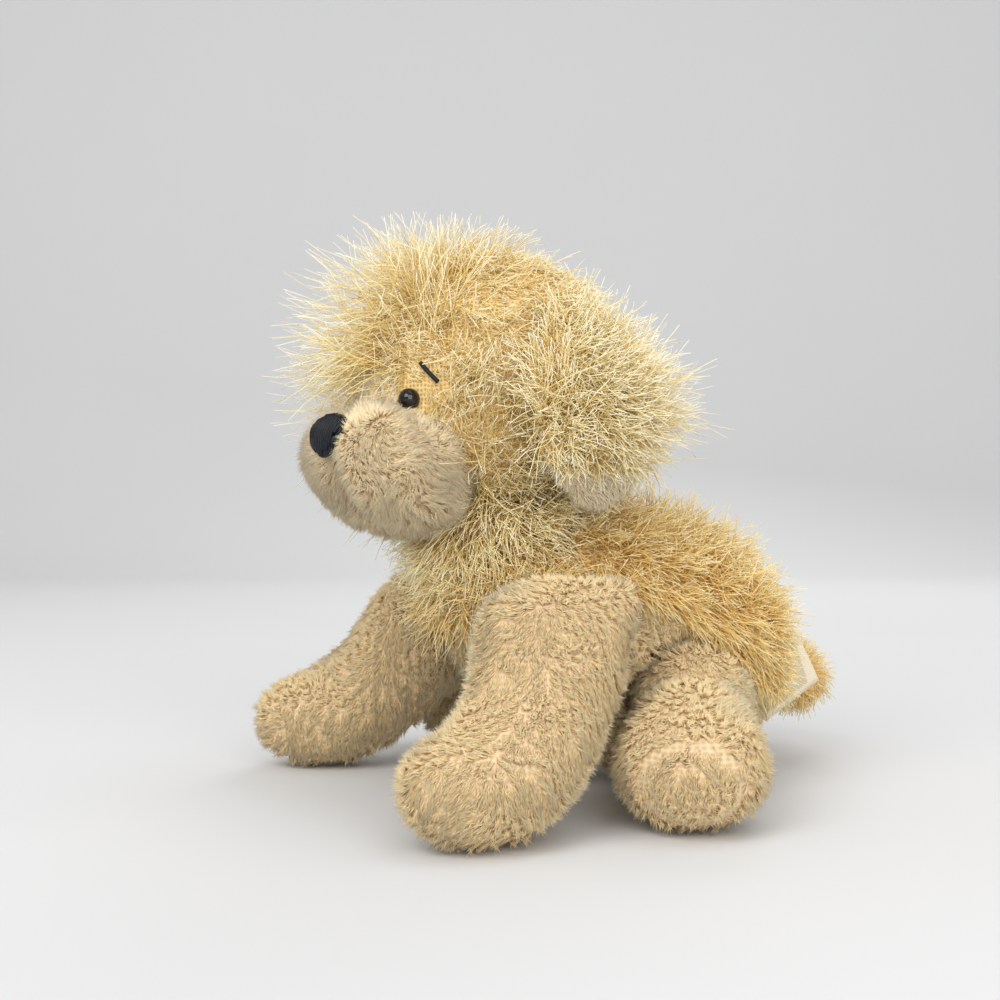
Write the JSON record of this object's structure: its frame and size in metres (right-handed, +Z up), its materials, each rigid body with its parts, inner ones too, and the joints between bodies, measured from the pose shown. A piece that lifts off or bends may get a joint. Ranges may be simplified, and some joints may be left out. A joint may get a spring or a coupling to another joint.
{
  "type": "plush dog",
  "caption": "Sitting plush dog with shaggy and short pile, a turning and nodding head, lifting ears, swinging legs and a wagging tail.",
  "frame": {"origin": "middle of the toy's outline seen from above, on the floor it sits on", "axes": "+X to the dog's left, -Y the way its chest faces, +Z up"},
  "size_m": [0.217, 0.2308, 0.1933],
  "materials": {
    "shag": "long shaggy golden pile on a knit backing",
    "plush": "short dense plush pile",
    "lining": "short cream plush pile",
    "fibre": "loose white fibre filling",
    "pellet_bag": "thin cloth bag of plastic pellets",
    "thread": "satin stitched black thread",
    "bead": "polished black",
    "washer": "moulded white plastic",
    "ribbon": "cream satin ribbon"
  },
  "bodies": {
    "torso": {"back_cover": "shag", "belly_panel": "plush", "body_stuffing": "fibre", "seat_pellet_bag": "pellet_bag"},
    "neck": {"neck_stuffing": "fibre"},
    "head": {"head_cover": "shag", "muzzle_cover": "plush", "chin_panel": "plush", "head_stuffing": "fibre", "nose": "thread", "eye_left": "bead", "eye_washer_left": "washer", "eyebrow_left": "thread", "eye_right": "bead", "eye_washer_right": "washer", "eyebrow_right": "thread"},
    "tail": {"tail_cover": "shag", "tail_stuffing": "fibre"},
    "label": {"label": "ribbon"},
    "ear_left": {"ear_left_outer": "shag", "ear_left_lining": "lining"},
    "front_leg_left": {"front_leg_left_cover": "plush", "front_leg_left_stuffing": "fibre", "front_paw_left_pellet_bag": "pellet_bag"},
    "hind_leg_left": {"hind_leg_left_cover": "plush", "hind_paw_left_sole": "plush", "hind_leg_left_stuffing": "fibre", "hind_paw_left_pellet_bag": "pellet_bag"},
    "ear_right": {"ear_right_outer": "shag", "ear_right_lining": "lining"},
    "front_leg_right": {"front_leg_right_cover": "plush", "front_leg_right_stuffing": "fibre", "front_paw_right_pellet_bag": "pellet_bag"},
    "hind_leg_right": {"hind_leg_right_cover": "plush", "hind_paw_right_sole": "plush", "hind_leg_right_stuffing": "fibre", "hind_paw_right_pellet_bag": "pellet_bag"}
  },
  "joints": [
    {"name": "neck_nod", "type": "hinge", "parent": "torso", "child": "neck", "pos_m": [0, -0.04339, 0.09725], "axis": [1, 0, 0], "range_deg": [-10, 14], "stiffness_Nm_per_rad": 0.4},
    {"name": "head_turn", "type": "hinge", "parent": "neck", "child": "head", "pos_m": [0, -0.04339, 0.09725], "axis": [0, 0, 1], "range_deg": [-30, 30], "stiffness_Nm_per_rad": 0.15},
    {"name": "ear_left_lift", "type": "hinge", "parent": "head", "child": "ear_left", "pos_m": [0.03971, -0.03688, 0.17325], "axis": [0.4226, -0.9063, 0], "range_deg": [0, 60]},
    {"name": "ear_right_lift", "type": "hinge", "parent": "head", "child": "ear_right", "pos_m": [-0.03954, -0.05085, 0.17325], "axis": [0.0872, 0.9962, 0], "range_deg": [0, 60]},
    {"name": "front_leg_left_swing", "type": "hinge", "parent": "torso", "child": "front_leg_left", "pos_m": [0.031, -0.04933, 0.06], "axis": [-1, 0, 0], "range_deg": [0, 40], "stiffness_Nm_per_rad": 0.2},
    {"name": "hind_leg_left_swing", "type": "hinge", "parent": "torso", "child": "hind_leg_left", "pos_m": [0.0415, 0.01367, 0.033], "axis": [0, 0, 1], "range_deg": [0, 45], "stiffness_Nm_per_rad": 0.2},
    {"name": "front_leg_right_swing", "type": "hinge", "parent": "torso", "child": "front_leg_right", "pos_m": [-0.031, -0.04933, 0.06], "axis": [-1, 0, 0], "range_deg": [0, 40], "stiffness_Nm_per_rad": 0.2},
    {"name": "hind_leg_right_swing", "type": "hinge", "parent": "torso", "child": "hind_leg_right", "pos_m": [-0.0415, 0.01367, 0.033], "axis": [0, 0, -1], "range_deg": [0, 45], "stiffness_Nm_per_rad": 0.2},
    {"name": "tail_wag", "type": "hinge", "parent": "torso", "child": "tail", "pos_m": [0, 0.07667, 0.03681], "axis": [0, 0, 1], "range_deg": [-20, 20], "stiffness_Nm_per_rad": 0.03},
    {"name": "label_flap", "type": "hinge", "parent": "torso", "child": "label", "pos_m": [0.0224, 0.06248, 0.03646], "axis": [0, -0.1816, -0.9834], "range_deg": [0, 45], "stiffness_Nm_per_rad": 0.002}
  ]
}
